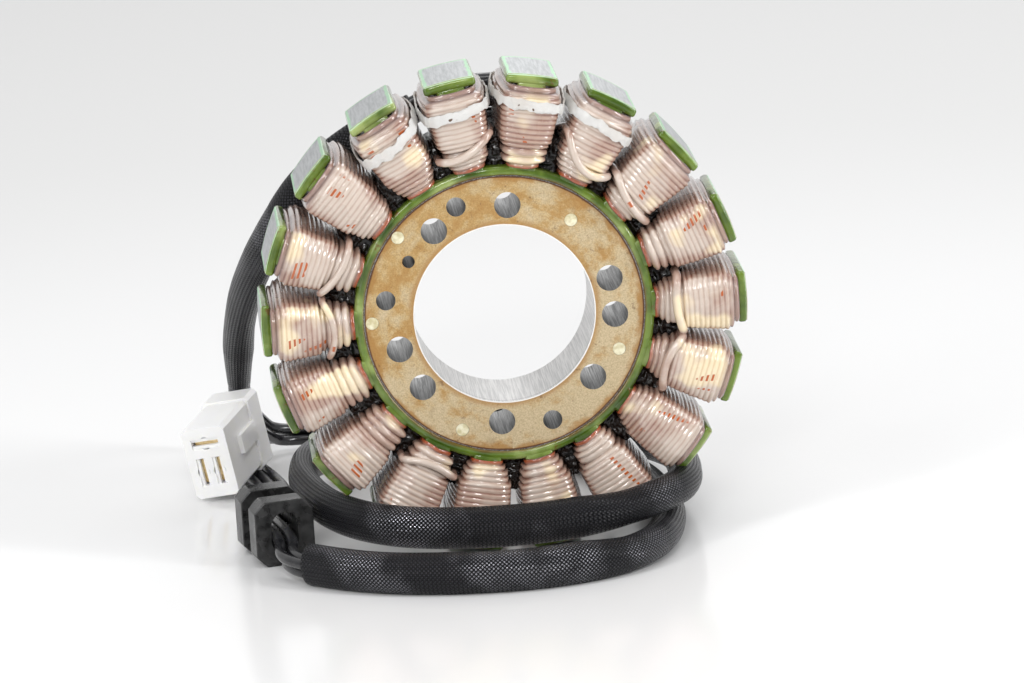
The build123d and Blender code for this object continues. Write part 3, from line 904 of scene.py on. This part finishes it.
def winding(name, index, thin, fat, pitch, lean, node):
    """The band of one coil; a section of a turn is part of a circle, or softer in the block."""
    turns = turns_of(thin, fat, pitch, index)
    steps = 6
    crest_reach, full_drop = 0.92, 0.61
    matrix = pole_matrix(index)
    inner_half_width, inner_half_depth = 3.6, 12.6
    levels = [(coil_root, turns[0][1] - 0.6, 1.0)]
    for number, (height, width, half, valley) in enumerate(turns):
        above = turns[number + 1][1] if number + 1 < len(turns) else width - 0.3
        below = turns[number - 1][1] if number else width
        for k in range(1 if number else 0, steps + 1):
            t = k / steps * 2 - 1
            drop = 1 - sqrt(1 - (abs(t) * crest_reach) ** 2)
            if valley == block_valley:
                drop = 0.35 * drop + 0.65 * full_drop * sin(t * pi / 2) ** 2
            side = min(above, width) if t > 0 else min(below, width)
            valley_here = valley if t > 0 else (turns[number - 1][3] if number else valley)
            depth = drop / full_drop * (valley_here + (width - side) * 0.8)
            levels.append((height + t * half, width - depth, min(drop / full_drop, 1.0)))
    rows = len(levels)
    wall = 4
    total = rows + wall

    def row(v):
        return round(v * total) % total

    def place(u, v):
        r = row(v)
        turn = 2 * pi * u
        if r < rows:
            height, width, _ = levels[r]
            point, out = outline(turn, width, corner=4.6)
            share = (height - coil_root) / (coil_top - coil_root)
            loose = max(1 - share * 1.6, 0)
            wave = ripple(turn, 1.3, index * 5.7 + height * 0.12)
            fine = ripple(turn, 4, index * 2.3 + height * 0.8)
            crown = 0.70 * max(1 - (point.x / width) ** 2, 0)
            point += out * (0.20 * wave + 0.06 * fine)
            point.y += crown * (1 if point.y > 0 else -1)
            point.z = height + (wave * 0.45 + lean * point.x / 8.0) * loose
            point.z = clamp(point.z, coil_root, coil_top)
        else:
            k = (r - rows + 0.5) / wall
            c, s = cos(turn), sin(turn)
            big = max(abs(c) / inner_half_width, abs(s) / inner_half_depth)
            point = Vector((c / big, s / big, coil_top + (coil_root - coil_top) * k))
        return matrix @ point

    # Each row's depth in its valley; the finish paints deeper rows darker, as painted shade, and the inner wall counts
    # as deepest.
    def mark(u, v):
        r = row(v)
        return levels[r][2] if r < rows else 1.0

    def height_uv(u, v):
        r = row(v)
        return (lap_length * u + lap_length * index, levels[r][0] if r < rows else coil_root)

    piece(name, wrap(56, total, place, mark, height_uv), copper, "varnished_copper", node)


# %% Each coil's plan, clockwise from the first one right of the top: thin and fat turns, pitch, lean
plans = (
    (1, 2, 1.28, 0.2), (3, 0, 1.28, 0.0), (2, 1, 1.26, -0.9), (1, 2, 1.24, -0.5), (3, 1, 1.26, 0.2),
    (2, 1, 1.22, 0.7), (3, 0, 1.24, 0.4), (3, 1, 1.28, 0.3), (2, 1, 1.26, 0.1), (3, 0, 1.30, 0.2),
    (1, 2, 1.26, -0.2), (1, 3, 1.26, 0.5), (1, 3, 1.26, 0.4), (1, 3, 1.24, 0.1), (1, 3, 1.26, -0.5),
    (4, 0, 1.26, 0.2), (3, 0, 1.26, 0.0), (3, 1, 1.26, 0.3))
for index, (thin, fat, pitch, lean) in enumerate(plans):
    winding(f"winding_{index + 1:02d}", index, thin, fat, pitch, lean, f"coil_{index + 1:02d}")

# %% [markdown]
# ## Loose loops
# Some coils have a fat turn that crosses the others on its way to the next layer. Each is one
# round wire on a closed loop, lower on one side of the front than on the other.

# %% A loose loop


def loop(name, index, half_width, heights, thickness):
    """heights are those of the front's left, middle and right, and of the back."""
    tightness, push = 2.0, 0.75
    pattern_reach = 46.0
    matrix = pole_matrix(index)
    left, middle, right_side, rear = heights

    def centre(turn):
        point, out = outline(turn, half_width + push, corner=4.2, soft=tightness)
        across = clamp(point.x / half_width, -1, 1)
        bow = middle - (left + right_side) / 2
        front = (left * (1 - across) + right_side * (1 + across)) / 2 + bow * (1 - across ** 2)
        point.z = rear + (front - rear) * front_share(point, half_width)
        return point, out

    def place(u, v):
        turn = 2 * pi * v
        point, out = centre(turn)
        ahead = centre(turn + 0.01)[0] - centre(turn - 0.01)[0]
        rise = ahead.cross(out).normalized() * -1
        out = rise.cross(ahead).normalized()
        section = 2 * pi * u
        return matrix @ (point + (out * cos(section) + rise * sin(section)) * thickness)

    def reach_uv(u, v):
        return (lap_length * v + lap_length * index, pattern_reach)

    # The mark paints the wire darker on its upper and lower sides and paler facing out and in: painted shade.
    bm = wrap(12, 96, place, lambda u, v: 0.15 + 0.5 * abs(sin(2 * pi * u)), reach_uv)
    piece(name, bm, copper, "varnished_copper")


# %% Each loop's coil, half width, heights and thickness
loops = (
    (1, 6.7, (48.0, 41.4, 42.0, 43.0), 1.05), (2, 6.6, (44.0, 41.4, 41.0, 42.0), 1.05),
    (17, 6.5, (41.2, 41.6, 45.4, 43.0), 1.05), (4, 6.7, (42.6, 42.2, 43.6, 43.0), 1.15),
    (5, 6.6, (43.6, 41.4, 42.6, 42.5), 1.1), (13, 6.7, (43.6, 42.2, 44.6, 43.0), 0.9),
    (14, 6.7, (45.4, 42.4, 42.0, 43.0), 0.95), (10, 6.5, (42.0, 41.2, 43.2, 42.5), 1.0))
for number, plan in enumerate(loops, 1):
    loop(f"loose_loop_{number}", *plan)

# %% [markdown]
# ## Jumpers at the rear
# The eighteen coils belong to three phases, six to each. Behind the yoke a jumper of each phase runs
# from coil to coil, and dips outward to each coil that it serves. The three lie side by side.

# %% Jumpers


def jumper(name, phase):
    """One wire round the rear of the yoke that visits every third coil."""
    spacing, lie, thickness = 1.2, 13.25, 0.55
    ring_radius = 36.7 + spacing * (phase - 1)
    coil_radius, coil_rise = 39.3, 1.7
    pattern_lap, pattern_reach = 900, 42.0
    small = 0.0005
    served = pole_count // 3

    def centre(v):
        turn = 2 * pi * v
        near = max(cos(served * turn - 2 * pi * phase / 3 + pi / 9), 0) ** 10
        sway = 0.22 * ripple(turn, 5, phase * 4.0)
        radius = ring_radius + sway + (coil_radius - ring_radius) * near
        return Vector((radius * sin(turn), lie + coil_rise * near, radius * cos(turn))) * MM

    def place(u, v):
        ahead = (centre(v + small) - centre(v - small)).normalized()
        side = ahead.cross(Vector((0, 1, 0))).normalized()
        rise = side.cross(ahead)
        section = 2 * pi * u
        return centre(v) + (side * cos(section) + rise * sin(section)) * thickness * MM

    bm = wrap(10, 360, place, lambda u, v: 0.2, lambda u, v: (v * pattern_lap, pattern_reach))
    piece(name, bm, copper, "varnished_copper")


for phase in (0, 1, 2):
    jumper(f"phase_jumper_{phase + 1}", phase)

# %% [markdown]
# ## Lacing tape
# Cotton tape ties down the coils that carry the leads. It is a flat band that runs a little
# askew, and its edges wander.

# %% Tape


def tape(name, node, index, left, right_side, sag):
    """A band whose front is at these heights on its left and right, and sags between them."""
    matrix = pole_matrix(index)
    half_tape, thickness, clearance = 1.25, 0.35, 0.12
    half_width = 8.6
    # The band's section: how far out, and how high as a share of half its width.
    section = ((0.0, -1), (0.06, -0.8), (0.09, 0), (0.06, 0.8), (0.0, 1), (-0.35, 0.9), (-0.35, -0.9))
    count = len(section)

    def place(u, v):
        turn = 2 * pi * v
        out_share, up_share = section[round(u * count) % count]
        point, out = outline(turn, half_width)
        across = point.x / half_width
        middle = (left + right_side) / 2
        tilt = (right_side - left) / 2 * across - sag * (1 - across ** 2)
        frayed = 0.75 * ripple(turn, 4, up_share * 2 + index)
        frayed += 0.30 * ripple(turn, 12, up_share * 2 + index)
        wrinkle = 0.22 * ripple(turn, 9, up_share * 0.8 + index)
        share = front_share(point, half_width)
        point += out * (clearance + thickness + out_share + wrinkle)
        point.y += 0.35 * max(1 - across ** 2, 0) * (1 if point.y > 0 else -1)
        point.z = middle + tilt * share + up_share * (half_tape + frayed)
        return matrix @ point

    piece(name, wrap(count, 160, place), tape_white, "white_tape", node, sharp=50)


# %% Each tape's coil, its heights on the left and right, and its sag
tapes = ((16, 51.5, 53.2, 1.6), (17, 52.4, 53.4, 0.9), (0, 54.2, 52.8, 0.2), (1, 53.6, 51.8, -0.2))
for number, plan in enumerate(tapes, 1):
    tape(f"tape_{number}", f"lacing_tape_{number}", *plan)

# %% [markdown]
# ## The green coat's own shape
# The coat swells at every edge, where the powder melted and drew back. A ring is spun for the
# yoke, and each pole gets a tooth and a shoe as rounded blocks. A shoe's top is bent to the
# stator's outer circle, just under the bare steel, so the steel shows in a green frame.

# %% Spin the yoke's coat
coat = bmesh.new()
rear_half = [(34.75, 12.2), (34.95, 12.46), (35.3, 12.56), (36.2, 12.5), (36.85, 12.2), (37.0, 11.8)]
profile = [(r, -y) for r, y in rear_half] + rear_half[::-1]
corners = [coat.verts.new((r * MM, y * MM, 0)) for r, y in profile]
edges = [coat.edges.new((a, b)) for a, b in zip(corners, corners[1:] + corners[:1])]
bmesh.ops.spin(coat, geom=corners + edges, cent=(0, 0, 0), axis=(0, 1, 0), angle=2 * pi,
               steps=144, use_merge=True)

# %% Add a tooth and a shoe for each pole
coat_edge = 0.7
shoe_top_radius = 59.95


def add_box(bm, size, middle):
    """Add a box to a bmesh; returns its corners."""
    verts = bmesh.ops.create_cube(bm, size=1.0)["verts"]
    bmesh.ops.scale(bm, vec=size, verts=verts)
    bmesh.ops.translate(bm, vec=middle, verts=verts)
    return verts


def rounded_block(low, high, cuts=0, top_radius=None):
    """A box from low to high in millimetres beside an upright tooth, with round edges. With a top
    radius, it is cut across and its top is bent to that circle."""
    low, high = Vector(low), Vector(high)
    bm = bmesh.new()
    add_box(bm, high - low, (low + high) / 2)
    if top_radius:
        across = [e for e in bm.edges if abs((e.verts[0].co - e.verts[1].co).x) > 0.1]
        bmesh.ops.subdivide_edges(bm, edges=across, cuts=cuts)
        for vert in bm.verts:
            if vert.co.z > (low.z + high.z) / 2:
                vert.co.z = sqrt(top_radius ** 2 - vert.co.x ** 2)
    sharp = [e for e in bm.edges if e.calc_face_angle(0) > radians(40)]
    bmesh.ops.bevel(bm, geom=sharp, offset=coat_edge, segments=3, affect="EDGES", profile=0.5,
                    material=-1, clamp_overlap=True)
    return bm


for index in range(pole_count):
    for block in (rounded_block((-3.5, -12.5, 35.8), (3.5, 12.5, 58.2)),
                  rounded_block((-6.5, -12.6, 57.5), (6.5, 12.6, 59.9), 5, shoe_top_radius)):
        bmesh.ops.transform(block, matrix=pole_matrix(index), verts=block.verts)
        copy = mesh_of("block", block)
        coat.from_mesh(copy)
        bpy.data.meshes.remove(copy)
for vert in coat.verts:
    vert.co += vert.normal * 0.06 * MM * noise.noise(vert.co * 260)
bmesh.ops.recalc_face_normals(coat, faces=coat.faces)
piece("green_coat", coat, green, "green_coat", "epoxy_coating", sharp=60)

# %% [markdown]
# ## Painted shade in the slots
# Dark, lumpy wedges stand between the windings, where the slots lie in shadow: painted shade.
# One wedge fills the root of each slot, next to the yoke, and narrows as it rises.

# %% A wedge in each slot
slot_shade_root, slot_shade_height, slot_shade_depth = 36.6, 8.6, 9.4
slots = bmesh.new()
for index in range(pole_count):
    wedge = bmesh.ops.create_grid(slots, x_segments=6, y_segments=22, size=0.5)["verts"]
    sheet = [f for f in slots.faces if all(v in set(wedge) for v in f.verts)]
    for vert in wedge:
        u, v = vert.co.x + 0.5, vert.co.y + 0.5
        half = 2.3 - 1.5 * v
        lump = 1.1 * noise.noise(Vector((u * 3, v * 9, index * 3.7)))
        vert.co = Vector(((u - 0.5) * 2 * half, -slot_shade_depth + lump, slot_shade_root + slot_shade_height * v))
    new = bmesh.ops.extrude_face_region(slots, geom=sheet)["geom"]
    far = [g for g in new if isinstance(g, bmesh.types.BMVert)]
    for vert in far:
        vert.co.y = -vert.co.y
    bmesh.ops.transform(slots, matrix=pole_matrix(index - 0.5), verts=wedge + far)
bmesh.ops.recalc_face_normals(slots, faces=slots.faces)
# The wedges are painted shade in the slots.
piece("slot_resin", slots, slot_shade, "varnished_copper")

# %% [markdown]
# ## Softened copies
# The CAD solids have knife edges. The grommet, the splices and the connector are moulded things,
# so each is copied, merged, cleaned of its flat seams and given round edges.

# %% Soften a node


def soften(node, name, material, slot, width):
    angle = 30
    bm = bmesh.new()
    bm.from_mesh(frame["nodes"][node].data)
    bmesh.ops.remove_doubles(bm, verts=bm.verts, dist=1e-6)
    bmesh.ops.dissolve_limit(bm, angle_limit=radians(0.5), verts=bm.verts, edges=bm.edges)
    made = piece(name, bm, material, slot, node, sharp=angle)
    rounding = made.modifiers.new("round edges", "BEVEL")
    rounding.width = width
    rounding.segments = 3
    rounding.limit_method = "ANGLE"
    rounding.angle_limit = radians(angle)
    rounding.use_clamp_overlap = True
    return made


grommet_piece = soften("grommet", "soft_grommet", rubber, "black_rubber", 0.8 * MM)
housing_piece = soften("connector_housing", "nylon_housing", nylon, "white_nylon", 0.45 * MM)

# %% [markdown]
# ## Lips in the connector's slots
# Two thin lips of nylon narrow each slot to its blade, one on either side.

# %% Lips
lip_length, lip_depth, lip_thickness = 7.6, 1.6, 0.85
lip_inset, lip_from_blade = 1.15, 0.98
lips = bmesh.new()
for x, z, upright in terminal_places:
    stand = Matrix.Rotation(pi / 2 if upright else 0, 4, "Y")
    seat = housing_place @ to_metres @ Matrix.Translation((x, 0, z)) @ stand
    for side in (-1, 1):
        lip = add_box(lips, (lip_length, lip_depth, lip_thickness),
                      (0, lip_inset, side * lip_from_blade))
        bmesh.ops.transform(lips, matrix=seat, verts=lip)
bmesh.ops.bevel(lips, geom=lips.edges[:], offset=0.12 * MM, segments=2, affect="EDGES",
                profile=0.5, material=-1)
lips_piece = piece("slot_lips", lips, nylon, "white_nylon", sharp=40)

# %% Soften the splices
for number in (1, 2, 3):
    soften(f"lead_splice_{number}", f"splice_tube_{number}", wire_black, "black_tube", 0.7 * MM)

connector_pieces = [housing_piece, lips_piece, frame["nodes"]["connector_terminals"]]
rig.cord(lead_tube, exit=lead_points[0], length=lead_length, diameter=0.0076, far_end="bare",
        stiffness="limp", lay="hanging", path=lead_path, with_pieces=short_leads)
for number, (made, route) in enumerate(middle_wires):
    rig.cord(made, exit=route[0], length=lengths(read_line(route))[-1], diameter=wire_diameter,
            far_end="object", stiffness="medium", lay="loose",
            with_pieces=[grommet_piece] if number == 0 else [])
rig.cord(main_tube, exit=main_points[0], length=main_length, diameter=0.009, far_end="bare",
        stiffness="limp", lay="loose", path=main_path)
for made, route in end_wires:
    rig.cord(made, exit=route[0], length=lengths(read_line(route))[-1], diameter=wire_diameter,
            far_end="connector", stiffness="medium", lay="loose",
            with_pieces=connector_pieces)

# %% Finishes for the nodes that stay as they are


def dress(node, material):
    mesh = frame["nodes"][node].data
    mesh.materials.clear()
    mesh.materials.append(material)


dress("laminated_core", steel)
dress("core_rivets", rivet_brass)
dress("connector_terminals", terminal_brass)

# %% [markdown]
# ## Floor, lights and world
# The real scene is a glossy white table under broad soft lamps. Far behind the stator the white
# fades into a pale grey wall, and the room in front, where the photographer stands, is darker.

# %% Floor
table_reach = 1.6
bm = bmesh.new()
bmesh.ops.create_circle(bm, cap_ends=True, segments=96, radius=table_reach)
bmesh.ops.translate(bm, vec=(0, 0, FLOOR), verts=bm.verts)
floor_mesh = mesh_of("floor", bm)
floor = add("floor", floor_mesh)
table, table_surface, spot = finish("white_table", (0.88, 0.88, 0.88), 0.2, specular=0.35)
x, y, _ = spot.parts()
away = (x * x + y * y).power(0.5)
# The table is painted paler near the stator and greyer further out: a painted pool of light.
painted_table_light = away.step(0.25, 0.55).blend((0.87, 0.87, 0.87), (0.79, 0.79, 0.785))
drive(table_surface, "Base Color", painted_table_light)
drive(table_surface, "Roughness", away.step(0.8, 1.3, 0.15, 0.6))
floor_mesh.materials.append(table)
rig.stage(floor)

# %% Lamps


def lamp(name, place, size, power, aim=(0, 0, 0)):
    light = bpy.data.lights.new(name, "AREA")
    light.shape = "RECTANGLE"
    light.size, light.size_y = size
    light.energy = power
    holder = add(name, light)
    holder.location = place
    holder.rotation_euler = (Vector(aim) - Vector(place)).to_track_quat("-Z", "Y").to_euler()


lamp("key", (-0.85, -0.75, 0.75), (0.18, 0.9), 6.0)
lamp("front_box", (-0.15, -1.1, 0.58), (0.30, 0.14), 4)
lamp("right_strip", (0.95, -0.6, 0.45), (0.16, 0.8), 8.2)
lamp("top_strip", (0.05, -0.35, 1.2), (0.9, 0.35), 3.6)
lamp("rear", (0.3, 0.9, 0.8), (0.9, 0.5), 3)
lamp("low_fill", (-0.75, -1.05, 0.12), (0.5, 0.35), 1.1, (0, 0, -0.02))

# %% World
world = bpy.data.worlds.new("studio")
world.use_nodes = True
tree = world.node_tree
background = tree.nodes["Background"]
places = tree.nodes.new("ShaderNodeTexCoord")
paths = tree.nodes.new("ShaderNodeLightPath")
_, toward_rear, height = Sock(tree, places.outputs["Generated"]).parts()
wall = height.step(-0.22, -0.17).blend((0.93, 0.93, 0.93), (0.81, 0.81, 0.805))
room = toward_rear.step(-0.3, 0.5).blend((0.26, 0.26, 0.27), (0.80, 0.80, 0.80))
seen = Sock(tree, paths.outputs["Is Camera Ray"])
tree.links.new(seen.blend(room, wall).socket, background.inputs["Color"])
background.inputs["Strength"].default_value = 1.0
scene.world = world
scene.view_settings.view_transform = "Standard"

# %% Write the sizes and finish
with open("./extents.json", "w") as out:
    json.dump({"cad": cad_box, "visual": [list(map(float, c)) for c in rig.bounds()]}, out)
